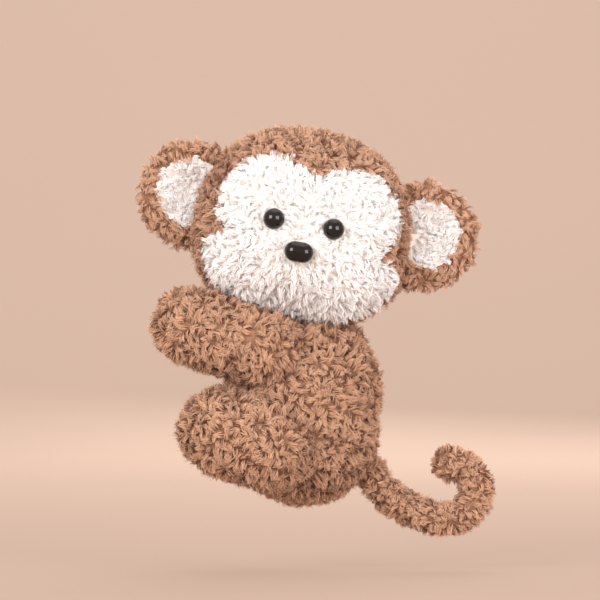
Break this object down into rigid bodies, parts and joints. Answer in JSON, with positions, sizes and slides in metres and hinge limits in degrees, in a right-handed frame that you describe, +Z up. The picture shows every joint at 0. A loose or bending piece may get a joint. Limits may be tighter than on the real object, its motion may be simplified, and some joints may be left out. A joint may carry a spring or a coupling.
{
  "type": "plush monkey",
  "caption": "Plush monkey with a rolled head, round ears and a curled tail, whose arms and legs clip round the edge of a board by a spring inside.",
  "frame": {"origin": "middle of the gap between the paws and feet, level with the gap between arm and leg, where the hugged board's edge post stands", "axes": "+Z up, the face looks along -Y, the chest and limbs point along -X, the tail along +X; the monkey's left side is at -Y"},
  "size_m": [0.1351, 0.0887, 0.1548],
  "materials": {
    "brown_plush": "matte",
    "white_plush": "matte",
    "stuffing": "matte",
    "eye_plastic": "gloss",
    "washer_plastic": "matte",
    "clip_plastic": "satin",
    "pin_steel": "satin",
    "spring_steel": "satin",
    "thread": "matte"
  },
  "bodies": {
    "torso": {"torso_cover": "brown_plush", "torso_stuffing": "stuffing", "clip_pin": "pin_steel", "clip_pin_caps": "pin_steel", "clip_spring": "spring_steel", "closing_stitches": "thread"},
    "neck": {"neck_stuffing": "stuffing"},
    "head": {"head_cover": "brown_plush", "head_stuffing": "stuffing", "face_patch": "white_plush", "eye_left": "eye_plastic", "eye_right": "eye_plastic", "nose": "eye_plastic", "eye_left_washer": "washer_plastic", "eye_right_washer": "washer_plastic", "nose_washer": "washer_plastic"},
    "tail": {"tail_cover": "brown_plush", "tail_stuffing": "stuffing"},
    "left_ear": {"ear_cover_left": "brown_plush", "ear_lining_left": "white_plush", "ear_padding_left": "stuffing"},
    "left_limbs": {"arm_cover_left": "brown_plush", "arm_stuffing_left": "stuffing", "leg_cover_left": "brown_plush", "leg_stuffing_left": "stuffing", "clip_jaw_left": "clip_plastic"},
    "right_ear": {"ear_cover_right": "brown_plush", "ear_lining_right": "white_plush", "ear_padding_right": "stuffing"},
    "right_limbs": {"arm_cover_right": "brown_plush", "arm_stuffing_right": "stuffing", "leg_cover_right": "brown_plush", "leg_stuffing_right": "stuffing", "clip_jaw_right": "clip_plastic"}
  },
  "joints": [
    {"name": "left_grip", "type": "hinge", "parent": "torso", "child": "left_limbs", "pos_m": [0.0425, 0, 0], "axis": [0, 0, 1], "range_deg": [-9, 15], "stiffness_Nm_per_rad": 0.25},
    {"name": "right_grip", "type": "hinge", "parent": "torso", "child": "right_limbs", "pos_m": [0.0425, 0, 0], "axis": [0, 0, -1], "range_deg": [-9, 15], "stiffness_Nm_per_rad": 0.25},
    {"name": "head_turn", "type": "hinge", "parent": "torso", "child": "neck", "pos_m": [0.0425, 0, 0.025], "axis": [0, 0, 1], "range_deg": [-25, 25], "stiffness_Nm_per_rad": 0.06},
    {"name": "head_nod", "type": "hinge", "parent": "neck", "child": "head", "pos_m": [0.0425, 0, 0.025], "axis": [1, 0, 0], "range_deg": [-14, 0], "stiffness_Nm_per_rad": 0.2},
    {"name": "left_ear_flop", "type": "hinge", "parent": "head", "child": "left_ear", "pos_m": [0.08373, -0.002, 0.0577], "axis": [0.1736, 0, 0.9848], "range_deg": [-18, 18], "stiffness_Nm_per_rad": 0.01},
    {"name": "right_ear_flop", "type": "hinge", "parent": "head", "child": "right_ear", "pos_m": [0.00455, -0.002, 0.07166], "axis": [0.1736, 0, 0.9848], "range_deg": [-18, 18], "stiffness_Nm_per_rad": 0.01},
    {"name": "tail_swing", "type": "hinge", "parent": "torso", "child": "tail", "pos_m": [0.06801, 0, -0.03358], "axis": [0, 0, 1], "range_deg": [-25, 25], "stiffness_Nm_per_rad": 0.02}
  ],
  "couplings": [
    {"joint": "right_grip", "follows": "left_grip", "ratio": 1}
  ]
}
